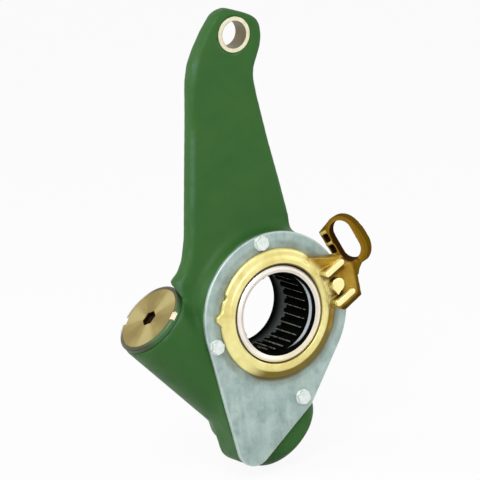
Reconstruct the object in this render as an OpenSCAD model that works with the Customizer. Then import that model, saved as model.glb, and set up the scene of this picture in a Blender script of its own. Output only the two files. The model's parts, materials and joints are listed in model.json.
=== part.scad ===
// Automatic brake slack adjuster, in millimetres.
// The origin is the middle of the splined bore. The bore runs along Y, with the front toward -Y.
// The clevis eye of the arm is straight above the bore, toward +Z.

/* [Arm] */
// centre of the splined bore to centre of the clevis pin
arm_length = 145; // [130:1:165]
// thickness of the arm blade
arm_t = 10; // [9:0.5:12]
// middle plane of the arm blade, measured along the bore
arm_y = -1; // [-2:0.5:1]
// rounding along the edges of the arm blade
arm_round = 2.4; // [1:0.2:3]
// bore radius of the clevis bush
bush_r = 7; // [5:0.25:7.5]
// wall of the clevis bush
bush_wall = 2.2; // [1.6:0.1:2.6]

/* [Housing] */
// step of the hub inside the rim of the cover plate
hub_inset = 0.7; // [0.4:0.1:1]
// rear face of the hub, measured along the bore
hub_rear = 19; // [18:0.25:20]
// front face of the housing, measured along the bore
face_y = -14; // [-14.5:0.1:-13.5]
// outer radius of the worm barrel
barrel_r = 20.5; // [19.8:0.1:22]
// rounding of the lower end of the barrel
barrel_round = 7; // [4:0.5:10]
// outer radius of the lower end of the barrel, around pinion and clutch
barrel_low_r = 24; // [22:0.2:25]
// lean of the worm axis to the left of the arm, degrees
worm_tilt = 42.1; // [36:0.1:46]
// depth of the rack boss behind the front face
rack_boss_d = 19; // [15:0.5:20]
// fillet between hub and arm
root_fillet = 6; // [3:0.5:7]

/* [Worm gear] */
// module of the worm and the worm wheel
gear_m = 3; // [2.9:0.05:3.05]
// teeth of the worm wheel
wheel_teeth = 20; // [20:1:20]
// pitch radius of the worm
worm_rp = 10; // [9.8:0.1:10.4]
// middle plane of the wheel teeth, measured along the bore
worm_y = 7.5; // [7:0.1:7.8]
// face width of the wheel teeth
wheel_face = 14; // [11:0.5:14]
// length of the worm thread
worm_len = 35; // [34.5:0.1:36]
// play between worm and wheel along the pitch line
worm_play = 0.7; // [0.6:0.05:0.9]

/* [Worm wheel] */
// half length of the worm wheel hub
wheel_half = 20.5; // [20.3:0.1:21.5]
// outer radius of the worm wheel hub
wheel_hub_r = 25; // [24.7:0.1:25.2]
// number of splines in the bore
spline_n = 26; // [20:1:28]
// radius at the tips of the splines
spline_tip_r = 19.3; // [18.6:0.1:19.6]
// radius at the roots of the splines
spline_root_r = 20.7; // [20.5:0.1:21]
// radius of the front counterbore
front_bore_r = 21.6; // [21.4:0.1:22]
// depth of the front counterbore
front_bore_d = 3; // [2.6:0.2:3.4]
// length of the bevel between the counterbore and the splines
front_bevel = 2.6; // [2:0.2:3]
// width of the lip around the counterbore
front_lip = 1.6; // [1:0.1:2]
// length of the spline
spline_len = 22; // [18:0.5:24]

/* [Cover plate] */
// metal of the plate outside the screw circle
plate_edge = 3.9; // [3.6:0.1:5]
// radius of the small end of the plate
apex_r = 10; // [9.5:0.1:11]
// radius of the corner of the plate around the lower screw
corner_r = 7.4; // [6:0.1:8]
// thickness of the plate
plate_t = 2.5; // [2:0.1:3]
// thickness of the gasket
gasket_t = 0.5; // [0.3:0.1:0.6]
// gap between the control arm flange and the screw heads
screw_gap = 0.5; // [0.3:0.1:1]
// radius of the screw heads
screw_head_r = 4; // [3.4:0.1:4.1]
// height of the screw heads
screw_head_h = 2.6; // [2:0.1:3]
// radius of the screw shanks
screw_r = 2.1; // [1.8:0.1:2.2]

/* [Adjusting train] */
// distance of the rack line from the control arm tube
rack_gap = 3.2; // [3:0.1:3.6]
// width of the rack
rack_w = 8; // [7:0.2:8]
// module of rack and pinion
rack_m = 1.5; // [1.4:0.05:1.5]
// teeth of the pinion
pinion_teeth = 16; // [16:1:16]
// length of the pinion
pinion_len = 9; // [8:0.5:10]
// swing of the control arm, degrees
swing = 24; // [16:1:24]
// play between rack and pinion along the pitch line
rack_play = 0.35; // [0.2:0.05:0.5]

/* [Control arm] */
// width of the control arm flange outside its tube
flange_w = 5.7; // [5:0.1:6.4]
// wall of the control arm tube
tube_wall = 3.24; // [2.8:0.02:3.6]
// step from the tube out to the raised collar of the control arm
collar_step = 1.3; // [0.8:0.1:2.6]
// lean of the lever above the X axis, degrees
lever_lean = 20; // [12:1:26]
// turn of the slotted eye out of the flange plane, degrees
eye_turn = 56; // [50:1:60]
// lean of the slot in the plane of the eye, degrees
eye_lean = 26; // [20:1:30]
// width of the slot in the eye
slot_w = 12.4; // [11.6:0.1:13]
// length of the slot in the eye
slot_l = 21.6; // [20:0.2:23]
// width of the metal around the slot
eye_wall = 2.6; // [2.4:0.1:3.4]
// thickness of the eye
eye_t = 5.7; // [5:0.1:6]
// width of the cheek beside the eye
cheek_w = 2.5; // [2:0.1:3]
// rounding of the front edge of the flange
flange_edge = 1.9; // [1:0.1:2]

/* [End cover] */
// step of the end cover disc inside the rim of the barrel
cover_inset = 0.5; // [0.3:0.1:1]
// ledge of the end cover disc on the end of the barrel
cover_ledge = 3.6; // [3:0.1:4]
// outer face of the end cover, measured along the worm axis from its middle
cover_z = 46.2; // [45.6:0.1:46.8]
// flats of the socket in the end cover
cover_socket = 8; // [6:0.5:10]

/* [Worm shaft] */
// radius of the worm shaft journals
stem_r = 6.5; // [6.2:0.1:6.6]
// width across flats of the setting hexagon
hex_af = 11; // [9:0.5:11]
// length of the setting hexagon outside the barrel
hex_out = 7; // [5:0.5:9]

/* [Fits] */
// running clearance on the radius
run = 0.06; // [0.03:0.01:0.08]
// clearance on the radius of pieces that are fitted and stay put
slip = 0.03; // [0.02:0.01:0.06]

/* [Hidden] */
$fn = 72;
eps = 0.01;
loose = 0.5;

// worm gear
centre = gear_m * wheel_teeth / 2 + worm_rp;
wheel_rp = gear_m * wheel_teeth / 2;
wheel_tip = wheel_rp + 0.82 * gear_m;
wheel_root = wheel_rp - gear_m;
worm_tip = worm_rp + 0.8 * gear_m;
worm_root = worm_rp - gear_m;
worm_pitch = PI * gear_m;
worm_lead = atan(gear_m / (2 * worm_rp));
flank = 20;

// rings around the bore, each outside the one before
tube_r = wheel_hub_r + run + tube_wall;
collar_r = tube_r + collar_step;
flange_r = tube_r + flange_w;
screw_pcd_r = flange_r + screw_gap + screw_head_r;
plate_r = screw_pcd_r + plate_edge;
hub_r = plate_r - hub_inset;
rack_z = tube_r + rack_gap;

// stations along the bore
plate_back = face_y - gasket_t;
plate_front = plate_back - plate_t;
arm_front = arm_y - arm_t / 2;
flange_back = plate_front - 0.2;
flange_front = flange_back - 2.2;
collar_front = -wheel_half + 0.3;
disc_front = plate_back + 0.6;
disc_back = disc_front + 2.8;
wheel_face_front = worm_y - wheel_face / 2;
wheel_face_rear = worm_y + wheel_face / 2;
pocket_rear = wheel_face_rear + 0.25;
shoulder_r = wheel_hub_r + 1.6;
oring_groove = 1.7;
disc_r = rack_z + 3.1;
disc_pocket_r = disc_r + 0.6;
wheel_pocket_r = wheel_tip + 0.6;

// rack and pinion
pinion_rp = rack_m * pinion_teeth / 2;
pinion_tip = pinion_rp + 0.93 * rack_m;
pinion_root = pinion_rp - 1.2 * rack_m;
rack_pitch = PI * rack_m;
rack_line_y = worm_y - pinion_rp;
rack_tip_y = rack_line_y + 0.9 * rack_m;
rack_root_y = rack_line_y - 1.2 * rack_m;
rack_back_y = disc_back + loose;
rack_travel = rack_z * swing * PI / 180;
dog_r = 2.6;
dog_play = 0.35;
dog_x = rack_travel / 2;
rack_right = dog_x + 4.4;
rack_left = -centre - 7.5;
rack_pad_x = -24;
channel_w = rack_w + 0.3;
channel_left = rack_left - rack_travel - 1.2;
channel_floor = rack_tip_y + loose;
apex_x = channel_left + 1.5;
apex_z = rack_z + 3.7;
boss_inset = 0.3;
gasket_inset = 0.8;
weld = 0.03;

// stations along the worm axis
chamber_r = max(pinion_tip, worm_tip) + 0.5;
thread_half = worm_len / 2;
collar_z = thread_half + 0.5;
race_t = 2;
race_in = stem_r + 1.1;
race_out = 12.6;
ball_r = 1.6;
ball_ring_r = 10;
ball_n = 11;
ball_z = collar_z + race_t + 0.03 + ball_r;
upper_race_z = ball_z + ball_r + 0.03;
spring_z0 = upper_race_z + race_t;
plug_z = cover_z - 9.7;
disc_z = cover_z - 2.6;
cover_r = barrel_r - cover_inset;
plug_r = cover_r - cover_ledge;
barrel_top = disc_z - 0.1;
barrel_low = rack_z + 28;
barrel_step = rack_z - 3;
pinion_z = rack_z;
clutch_gap = 0.3;
clutch_top = thread_half + 4.2;
clutch_h = pinion_z - pinion_len / 2 - clutch_gap - clutch_top;
bush_top = pinion_z + pinion_len / 2 + 1;
bush_low = barrel_low - 5;
bush_out_r = 10.4;
spring_bore_r = 8.75;
seal_r = 10;
seal_t = 3.5;
face_tooth_n = 12;
face_tooth_r = 8.7;
face_tooth_l = 3.2;
face_tooth_w = 2;
clutch_r = 12.3;
clutch_collar_r = 12.2;
thread_collar_r = 9.4;
coil_r = 10.6;
coil_wire = 1.2;
wrap_r = 7.7;
wrap_wire = 0.75;
cage_r = 12;
cage_h = 1.1;
bush_gap = 0.4;
seal_gap = 0.3;

// rounded outline of the arm in X and Z, read from the picture for an arm of nominal length
nominal = 145;
grow = arm_length - nominal;
stretch = arm_length / nominal;
arm_right = [[12, -6], [24, 16], [21.0, 37.2], [20.9, 45.8], [17.8, 65.2], [13.9, 87.4], [10.3, 112.3],
             [9.6, 120.6], [10.4, 125.6], [13.2, 131.0], [15.7, 136.2], [16.9, 141.3], [16.7, 147.0],
             [15.4, 150.0], [13.0, 152.2], [9.0, 154.4]];
arm_left = [[-20, -6], [-46, 8], [-49.6, 25.0], [-44.6, 28.8], [-41.4, 34.4], [-38.5, 45.2], [-36.4, 60.4],
            [-34.2, 76.3], [-29.8, 107.3], [-27.6, 125.0], [-25.2, 133.6], [-21.2, 140.8], [-15.0, 149.5],
            [-8.6, 156.6], [-4.6, 158.3], [-0.6, 158.5]];
function lengthen(p) = [p[0], p[1] > 119 ? p[1] + grow : p[1] > 40 ? p[1] * stretch : p[1]];
arm_pts = concat([for (p = arm_right) lengthen(p)],
                 [for (i = [len(arm_left) - 1 : -1 : 0]) lengthen(arm_left[i])]);

function unit(v) = v / norm(v);
function side_n(a, b) = let (d = unit(b - a)) [d[1], -d[0]];
function inset(p, d) = [for (i = [0 : len(p) - 1])
    let (a = p[(i + len(p) - 1) % len(p)], b = p[i], c = p[(i + 1) % len(p)],
         n1 = side_n(a, b), n2 = side_n(b, c))
    b - d * (n1 + n2) / (1 + n1 * n2)];
function involute(a) = tan(a) * 180 / PI - a;
// half angle of an involute tooth at radius r
function tooth_half(r, rp, s) = let (rb = rp * cos(flank))
    s / (2 * rp) * 180 / PI + involute(flank) - (r > rb ? involute(acos(rb / r)) : 0);
function tooth_pts(rp, root, tip, s, low, n = 5) = let (
    rs = [for (i = [0 : n]) root + (tip - root) * i / n])
    concat([for (r = rs) r * [cos(tooth_half(r, rp, s)), -sin(tooth_half(r, rp, s))]],
           [for (i = [n : -1 : 0]) let (r = rs[i])
               r * [cos(tooth_half(r, rp, s)), sin(tooth_half(r, rp, s))]],
           [[low, root * sin(tooth_half(root, rp, s))], [low, -root * sin(tooth_half(root, rp, s))]]);

// frame of the worm: local x points at the bore, z along the worm toward the end cover
module gear_frame() {
    rotate([0, -worm_tilt, 0]) children();
}
module on_worm(z = 0) {
    gear_frame() translate([-centre, worm_y, z]) children();
}
module on_bore(y = 0) {
    translate([0, y, 0]) rotate([-90, 0, 0]) children();
}
// draws an outline in X and Z and gives it depth from y0 back to y1
module from_front(y0, y1) {
    translate([0, y1, 0]) rotate([90, 0, 0]) linear_extrude(y1 - y0) children();
}
module bore_ring(r_out, r_in, y0, y1) {
    on_bore(y0) difference() {
        cylinder(r = r_out, h = y1 - y0);
        translate([0, 0, -1]) cylinder(r = r_in, h = y1 - y0 + 2);
    }
}
module worm_ring(r_out, r_in, z0, z1) {
    on_worm(z0) difference() {
        cylinder(r = r_out, h = z1 - z0);
        translate([0, 0, -1]) cylinder(r = r_in, h = z1 - z0 + 2);
    }
}
module torus(ring_r, wire_r) {
    rotate_extrude() translate([ring_r, 0]) circle(r = wire_r, $fn = 32);
}
// round-edged slab from an outline in X and Z, first its right side upward, then its left side downward
module round_slab(p, t, r, n = 4) {
    half = [for (j = [0 : n]) [r * (1 - sin(90 * j / n)), -t / 2 + r * (1 - cos(90 * j / n))]];
    levels = concat(half, [for (j = [n : -1 : 0]) [half[j][0], -half[j][1]]]);
    m = len(p);
    k = len(levels);
    pts = [for (l = levels) for (q = inset(p, l[0])) [q[0], l[1], q[1]]];
    sides = [for (j = [0 : k - 2]) for (i = [0 : m - 1])
        [j * m + i, (j + 1) * m + i, (j + 1) * m + (i + 1) % m, j * m + (i + 1) % m]];
    // the two faces are strips of triangles between the right and the left half of the outline
    strip = [for (i = [0 : m / 2 - 2]) for (f = [[i, i + 1, m - 2 - i], [i, m - 2 - i, m - 1 - i]]) f];
    last = (k - 1) * m;
    polyhedron(pts, concat([for (f = strip) [f[2], f[1], f[0]]], [for (f = sides) [f[3], f[2], f[1], f[0]]],
                           [for (f = strip) [last + f[0], last + f[1], last + f[2]]]), convexity = 8);
}
// helical wire around z, from z0 to z1
module coil(ring_r, wire_r, z0, z1, turns, steps, sides, turn = 0) {
    k = turns * steps;
    pts = [for (i = [0 : k]) for (j = [0 : sides - 1])
        let (a = 360 * i / steps, b = turn + 360 * j / sides, r = ring_r + wire_r * cos(b))
        [r * cos(a), r * sin(a), z0 + (z1 - z0) * i / k + wire_r * sin(b)]];
    sides_f = [for (i = [0 : k - 1]) for (j = [0 : sides - 1])
        [i * sides + j, i * sides + (j + 1) % sides, (i + 1) * sides + (j + 1) % sides, (i + 1) * sides + j]];
    polyhedron(pts, concat([[for (j = [sides - 1 : -1 : 0]) j]], sides_f,
                           [[for (j = [0 : sides - 1]) k * sides + j]]), convexity = 10);
}
// flat between two circles, out to the lines that touch both
module flat_between(c1, r1, c2, r2) {
    v = atan2(c2[1] - c1[1], c2[0] - c1[0]);
    w = acos((r1 - r2) / norm(c2 - c1));
    na = [cos(v + w), sin(v + w)];
    nb = [cos(v - w), sin(v - w)];
    // the flanks start just inside the two circles, so that they cross them cleanly
    polygon([c1 + (r1 - weld) * nb, c2 + (r2 - weld) * nb, c2 + (r2 - weld) * na, c1 + (r1 - weld) * na]);
}
// teardrop outline of the plate in the gear frame, with a corner for the lower screw
module teardrop(inset_by) {
    middle = [0, 0];
    tip = [apex_x, -apex_z];
    big = plate_r - inset_by;
    small = apex_r - inset_by;
    corner = corner_r - inset_by;
    circle(r = big);
    translate(tip) circle(r = small);
    translate(low_screw) circle(r = corner);
    flat_between(middle, big, tip, small);
    flat_between(middle, big, low_screw, corner);
    flat_between(tip, small, low_screw, corner);
}
// the three screws: two near the hub rim, one at the lower edge of the plate
low_screw = [-24.3, -(plate_r - 1.2)];
screw_angles = [97, 194];
module at_screws() {
    for (a = screw_angles)
        rotate([0, -a, 0]) translate([screw_pcd_r, plate_front, 0]) rotate([-90, 0, 0]) children();
    gear_frame() translate([low_screw[0], plate_front, low_screw[1]]) rotate([-90, 0, 0]) children();
}
screw_depth = plate_t + gasket_t + 7;
washer_t = 0.7;

module barrel_body() {
    wide = barrel_low - barrel_step;
    on_worm(-barrel_step - 1) cylinder(r = barrel_r, h = barrel_step + 1 + barrel_top);
    on_worm(-barrel_step) cylinder(r1 = barrel_low_r, r2 = barrel_r, h = 6);
    on_worm(-barrel_low) rotate_extrude() union() {
        translate([0, barrel_round]) square([barrel_low_r, wide - barrel_round]);
        square([barrel_low_r - barrel_round, barrel_round * 2]);
        translate([barrel_low_r - barrel_round, barrel_round]) circle(r = barrel_round);
    }
}
module hub_body() {
    edge = 3;
    on_bore(0) rotate_extrude() union() {
        translate([0, face_y]) square([hub_r, hub_rear - edge - face_y]);
        square([hub_r - edge, hub_rear]);
        translate([hub_r - edge, hub_rear - edge]) circle(r = edge);
    }
}
module hub_fillet(y, dir) {
    intersection() {
        on_bore(y) mirror([0, 0, dir < 0 ? 1 : 0]) rotate_extrude() translate([hub_r - 1, 0]) difference() {
            square([root_fillet + 1, root_fillet]);
            translate([root_fillet + 1, root_fillet]) circle(r = root_fillet);
        }
        from_front(face_y, hub_rear) polygon(inset(arm_pts, arm_round));
    }
}
module housing() {
    color([0.24, 0.41, 0.19]) difference() {
        union() {
            hub_body();
            barrel_body();
            translate([0, arm_y, 0]) round_slab(arm_pts, arm_t, arm_round);
            hub_fillet(arm_front, -1);
            hub_fillet(arm_front + arm_t, 1);
            gear_frame() from_front(face_y, face_y + rack_boss_d) teardrop(boss_inset);
        }
        // nothing stands in front of the machined face
        on_bore(face_y - 20) cylinder(r = 100, h = 20);
        // pockets for the control disc and the worm wheel, and the rear hub hole
        on_bore(face_y - 1) cylinder(r = disc_pocket_r, h = disc_back + loose - face_y + 1);
        on_bore(face_y - 1) cylinder(r = wheel_pocket_r, h = pocket_rear - face_y + 1);
        on_bore(0) cylinder(r = wheel_hub_r + run, h = worm_y + barrel_low_r + 1);
        on_bore(pocket_rear + 1.1) cylinder(r = wheel_hub_r + oring_groove, h = oring_groove + 0.2);
        // worm chamber, seats of the end cover, lower bush and seal
        on_worm(-bush_top) cylinder(r = chamber_r, h = bush_top + plug_z + 1);
        on_worm(plug_z) cylinder(r = plug_r + slip, h = barrel_top - plug_z + 1);
        on_worm(barrel_top) cylinder(r = cover_r + cover_inset / 2, h = 20);
        on_worm(-bush_low) cylinder(r = bush_out_r, h = bush_low);
        on_worm(-barrel_low - 1) cylinder(r = stem_r + 0.6, h = barrel_low);
        on_worm(-barrel_low - 1) cylinder(r = seal_r, h = seal_t + 1);
        // rack channel, open to the front
        gear_frame() translate([channel_left, face_y - 1, -rack_z - channel_w / 2])
            cube([rack_right + 1 - channel_left, channel_floor - face_y + 1, channel_w]);
        // clevis bush seat and tapped holes
        translate([0, 0, arm_length]) on_bore(arm_front - 1) cylinder(r = bush_r + bush_wall, h = arm_t + 2);
        at_screws() cylinder(r = screw_r + slip, h = screw_depth + 0.8);
    }
}
module clevis_bush() {
    lip = 0.2;
    color([0.85, 0.82, 0.68]) translate([0, 0, arm_length]) on_bore(arm_front - lip) difference() {
        cylinder(r = bush_r + bush_wall, h = arm_t + 2 * lip);
        translate([0, 0, -1]) cylinder(r = bush_r, h = arm_t + 3);
    }
}
module plate_shape(inner_r) {
    difference() {
        children();
        circle(r = inner_r);
    }
}
module cover_gasket() {
    color([0.12, 0.13, 0.12]) difference() {
        gear_frame() from_front(plate_back, face_y) difference() {
            teardrop(gasket_inset);
            circle(r = disc_pocket_r + 0.2);
            translate([channel_left - 0.2, -rack_z - channel_w / 2 - 0.2])
                square([rack_right + 1.4 - channel_left, channel_w + 0.4]);
        }
        at_screws() cylinder(r = screw_r + 0.3, h = screw_depth);
    }
}
module cover_plate() {
    color([0.66, 0.73, 0.71]) difference() {
        gear_frame() from_front(plate_front, plate_back) teardrop(0);
        on_bore(plate_front - 1) cylinder(r = tube_r + run, h = plate_t + 2);
        at_screws() translate([0, 0, -1]) cylinder(r = screw_r + 0.3, h = screw_depth);
    }
}
module cover_screws() {
    color([0.9, 0.9, 0.88]) at_screws() difference() {
        union() {
            cylinder(r = screw_r, h = screw_depth);
            translate([0, 0, -washer_t]) cylinder(r = screw_head_r, h = washer_t);
            translate([0, 0, -screw_head_h]) cylinder(r = screw_head_r * 0.96, h = screw_head_h, $fn = 6);
        }
        // the bevel around the top of the hexagon
        translate([0, 0, -screw_head_h - 1]) difference() {
            cylinder(r = screw_head_r + 1, h = 1.6);
            translate([0, 0, -0.1]) cylinder(r1 = screw_head_r * 0.7, r2 = screw_head_r, h = 1.8);
        }
    }
}
notch_w = 5;
notch_d = 3.4;
module end_cover() {
    oring_z = plug_z + 3.2;
    color([0.68, 0.59, 0.36]) on_worm() difference() {
        union() {
            translate([0, 0, plug_z]) cylinder(r = plug_r, h = disc_z - plug_z + 1);
            translate([0, 0, disc_z]) cylinder(r = cover_r, h = cover_z - disc_z - 0.7);
            translate([0, 0, cover_z - 0.7]) cylinder(r1 = cover_r, r2 = cover_r - 0.7, h = 0.7);
        }
        translate([0, 0, plug_z - 1]) cylinder(r = stem_r + run, h = 5.5);
        translate([0, 0, cover_z - 3]) cylinder(d = cover_socket / cos(30), h = 4, $fn = 6);
        translate([0, 0, oring_z]) difference() {
            cylinder(r = plug_r + 1, h = 2);
            translate([0, 0, -1]) cylinder(r = plug_r - 1.4, h = 4);
        }
        for (a = [-73, 107])
            rotate([0, 0, a]) translate([cover_r - notch_d, -notch_w / 2, cover_z - 1.9]) cube([notch_d + 2, notch_w, 3]);
    }
}
module end_cover_oring() {
    color([0.05, 0.05, 0.05]) on_worm(plug_z + 4.2) torus(plug_r - 0.7, 0.69);
}
module coil_spring() {
    z_low = spring_z0 + coil_wire;
    z_top = plug_z - coil_wire;
    turns = floor((z_top - z_low) / (2.3 * coil_wire));
    color([0.42, 0.43, 0.45]) on_worm() coil(coil_r, coil_wire, z_low, z_top, turns, 20, 10);
}
module upper_race() {
    color([0.7, 0.71, 0.72]) worm_ring(race_out + 0.9, race_in, upper_race_z, upper_race_z + race_t);
}
module at_balls() {
    for (i = [0 : ball_n - 1]) rotate([0, 0, i * 360 / ball_n]) translate([ball_ring_r, 0, 0]) children();
}
module ball_cage() {
    color([0.72, 0.56, 0.25]) on_worm(ball_z) difference() {
        translate([0, 0, -cage_h / 2]) cylinder(r = cage_r, h = cage_h);
        translate([0, 0, -cage_h]) cylinder(r = stem_r + 1.6, h = 2 * cage_h);
        at_balls() cylinder(r = ball_r + 0.08, h = 2 * cage_h, center = true);
    }
}
module thrust_balls() {
    color([0.8, 0.81, 0.82]) on_worm(ball_z) at_balls() sphere(r = ball_r, $fn = 24);
}
module lower_race() {
    color([0.7, 0.71, 0.72]) worm_ring(race_out, stem_r, collar_z, collar_z + race_t);
}
// section of the worm across its axis, with the middle of the groove on local +x
module worm_section() {
    s = worm_pitch / 2 - worm_play / 2;
    tip_a = 360 * (s / 2 - (worm_tip - worm_rp) * tan(flank)) / worm_pitch;
    root_a = 360 * (s / 2 + (worm_rp - worm_root) * tan(flank)) / worm_pitch;
    n_root = 5;
    n_tip = 6;
    polygon(concat(
        [for (i = [0 : n_root]) let (a = (root_a - 180) + (360 - 2 * root_a) * i / n_root) worm_root * [cos(a), sin(a)]],
        [for (i = [1 : 3]) let (a = 180 - root_a + (root_a - tip_a) * i / 4, r = worm_root + (worm_tip - worm_root) * i / 4)
            r * [cos(a), sin(a)]],
        [for (i = [0 : n_tip]) let (a = 180 - tip_a + 2 * tip_a * i / n_tip) worm_tip * [cos(a), sin(a)]],
        [for (i = [3 : -1 : 1]) let (a = 180 + root_a - (root_a - tip_a) * i / 4, r = worm_root + (worm_tip - worm_root) * i / 4)
            r * [cos(a), sin(a)]]));
}
module face_teeth(z, h, turn) {
    for (i = [0 : face_tooth_n - 1])
        rotate([0, 0, turn + i * 360 / face_tooth_n]) translate([face_tooth_r, -face_tooth_w / 2, z])
            cube([face_tooth_l, face_tooth_w, h]);
}
module worm_shaft() {
    turns = worm_len / worm_pitch;
    color([0.45, 0.46, 0.47]) on_worm() union() {
        rotate([0, 0, -360 * thread_half / worm_pitch]) translate([0, 0, -thread_half])
            linear_extrude(worm_len, twist = -360 * turns, slices = round(turns * 22), $fn = 20) worm_section();
        translate([0, 0, -barrel_low - hex_out + 8]) cylinder(r = stem_r, h = barrel_low + hex_out + plug_z - 4);
        translate([0, 0, thread_half - 0.5]) cylinder(r = thread_collar_r, h = 1);
        translate([0, 0, -clutch_top + 2.2]) cylinder(r = clutch_collar_r, h = clutch_top - 1.7 - thread_half);
        face_teeth(-clutch_top + 0.2, 2.4, 0);
        translate([0, 0, -barrel_low - hex_out]) cylinder(d = hex_af / cos(30), h = 9, $fn = 6);
    }
}
module clutch_wheel() {
    color([0.55, 0.54, 0.5]) on_worm() difference() {
        union() {
            translate([0, 0, -clutch_top - clutch_h]) cylinder(r = clutch_r, h = clutch_h);
            face_teeth(-clutch_top - 0.5, 2.5, 180 / face_tooth_n);
        }
        translate([0, 0, -clutch_top - clutch_h - 1]) cylinder(r = stem_r + run, h = clutch_h + 5);
        translate([0, 0, -clutch_top - clutch_h - 1]) cylinder(r = spring_bore_r, h = clutch_h - 0.6);
    }
}
module clutch_spring() {
    z_low = -pinion_z - pinion_len / 2 + 1.6;
    z_top = -clutch_top - 2.6;
    color([0.35, 0.36, 0.4]) on_worm() coil(wrap_r, wrap_wire, z_low, z_top, 8, 14, 4, 45);
}
module pinion() {
    s = PI * rack_m / 2 - rack_play / 2;
    pinion_top = -clutch_top - clutch_h - clutch_gap;
    color([0.6, 0.6, 0.58]) on_worm(-pinion_z) difference() {
        union() {
            translate([0, 0, -pinion_len / 2]) cylinder(r = pinion_root, h = pinion_top + pinion_z + pinion_len / 2);
            for (i = [0 : pinion_teeth - 1]) rotate([0, 0, -90 + i * 360 / pinion_teeth])
                translate([0, 0, -pinion_len / 2]) linear_extrude(pinion_len)
                    polygon(tooth_pts(pinion_rp, pinion_root, pinion_tip, s, pinion_root - 1));
        }
        translate([0, 0, -pinion_len / 2 + 0.8]) cylinder(r = spring_bore_r, h = 3 * pinion_len);
        translate([0, 0, -pinion_len]) cylinder(r = stem_r + run, h = 2 * pinion_len);
    }
}
module lower_bush() {
    color([0.72, 0.56, 0.3]) worm_ring(bush_out_r, stem_r + run, -bush_low, -bush_top + bush_gap);
}
module hex_seal() {
    color([0.06, 0.06, 0.06]) worm_ring(seal_r, stem_r + run, -barrel_low + seal_gap, -barrel_low + seal_t);
}
module rack() {
    tooth_half_w = rack_pitch / 4 - rack_play / 4;
    n_low = ceil((rack_left + centre + 1) / rack_pitch);
    n_high = ceil((rack_travel + 6) / rack_pitch);
    color([0.5, 0.5, 0.52]) gear_frame() union() {
        translate([rack_left, rack_back_y, -rack_z - rack_w / 2])
            cube([rack_right - rack_left, rack_root_y - rack_back_y, rack_w]);
        translate([rack_left, plate_back + 0.2, -rack_z - rack_w / 2])
            cube([rack_pad_x - rack_left, rack_back_y - plate_back, rack_w]);
        for (k = [n_low : n_high])
            translate([-centre + (k + 0.5) * rack_pitch, rack_line_y, -rack_z - rack_w / 2]) linear_extrude(rack_w)
                polygon([for (q = [[-1, rack_root_y - eps], [1, rack_root_y - eps], [1, rack_tip_y], [-1, rack_tip_y]])
                    [q[0] * (tooth_half_w - (q[1] - rack_line_y) * tan(flank)), q[1] - rack_line_y]]);
        translate([dog_x, disc_front + 0.2, -rack_z]) rotate([-90, 0, 0]) cylinder(r = dog_r, h = rack_back_y - disc_front + 1);
    }
}
module worm_wheel() {
    s = PI * gear_m / 2 - worm_play / 2;
    spline_y0 = -wheel_half + front_bore_d + front_bevel;
    spline_y1 = spline_y0 + spline_len;
    rear_r = spline_root_r + 0.4;
    pitch_a = 360 / spline_n;
    color([0.8, 0.79, 0.74]) difference() {
        union() {
            on_bore(-wheel_half + 1) cylinder(r = wheel_hub_r, h = wheel_face_front + wheel_half - 1);
            on_bore(wheel_face_rear) cylinder(r = wheel_hub_r, h = wheel_half - 1 - wheel_face_rear);
            on_bore(-wheel_half) cylinder(r1 = wheel_hub_r - 1, r2 = wheel_hub_r, h = 1);
            on_bore(wheel_half - 1) cylinder(r1 = wheel_hub_r, r2 = wheel_hub_r - 1, h = 1);
            on_bore(disc_back + 0.2) cylinder(r = shoulder_r, h = wheel_face_front - disc_back);
            on_bore(wheel_face_front) cylinder(r = wheel_root, h = wheel_face);
            intersection() {
                on_bore(wheel_face_front) cylinder(r = wheel_tip, h = wheel_face);
                gear_frame() for (i = [0 : wheel_teeth - 1]) rotate([0, i * 360 / wheel_teeth, 0])
                    translate([0, worm_y, 0]) rotate([worm_lead, 0, 0]) rotate([90, 0, 0]) rotate([0, 0, 180])
                        linear_extrude(2 * wheel_face, center = true)
                            polygon(tooth_pts(wheel_rp, wheel_root, wheel_tip + 0.5, s, wheel_root - 1));
            }
        }
        on_bore(-wheel_half - 1) cylinder(r = spline_tip_r, h = 2 * wheel_half + 2);
        on_bore(-wheel_half - 1) cylinder(r = front_bore_r, h = front_bore_d + 1);
        on_bore(-wheel_half + front_bore_d) cylinder(r1 = front_bore_r, r2 = spline_root_r + 0.1, h = front_bevel);
        on_bore(-wheel_half - eps) cylinder(r1 = front_bore_r + front_lip, r2 = front_bore_r - eps, h = front_lip / 2);
        on_bore(spline_y1) cylinder(r1 = spline_tip_r, r2 = rear_r, h = 1.6);
        on_bore(spline_y1 + 1.6) cylinder(r = rear_r, h = wheel_half - spline_y1);
        for (i = [0 : spline_n - 1]) rotate([0, i * pitch_a, 0]) from_front(-wheel_half + 1, wheel_half - 1)
            polygon([for (q = [[spline_tip_r - 0.6, -1, 0.29], [spline_root_r, -1, 0.19], [spline_root_r, 1, 0.19],
                               [spline_tip_r - 0.6, 1, 0.29]])
                [q[0], q[1] * q[0] * sin(pitch_a * q[2])]]);
    }
}
module rear_oring() {
    color([0.05, 0.05, 0.05]) on_bore(pocket_rear + 2.05) torus(wheel_hub_r + oring_groove / 2 + slip, oring_groove / 2 - 2 * slip);
}
lever_x = flange_r - 6;
eye_at = [flange_r + 12.5, -16.9, 28.9];
module stadium(w, l) {
    translate([0, (l - w) / 2]) circle(r = w / 2);
    translate([0, (w - l) / 2]) circle(r = w / 2);
    square([w, l - w], center = true);
}
module in_eye() {
    translate(eye_at) rotate([0, 0, -eye_turn]) rotate([0, -eye_lean, 0]) children();
}
block_front = -24.2;
block_back = flange_back - 0.1;
rib_back = flange_front + 0.5;
rib_h = 3;
rib_turn = 7;
module at_lever(q) {
    translate([lever_x + q[0], 0, q[1]]) children();
}
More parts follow.
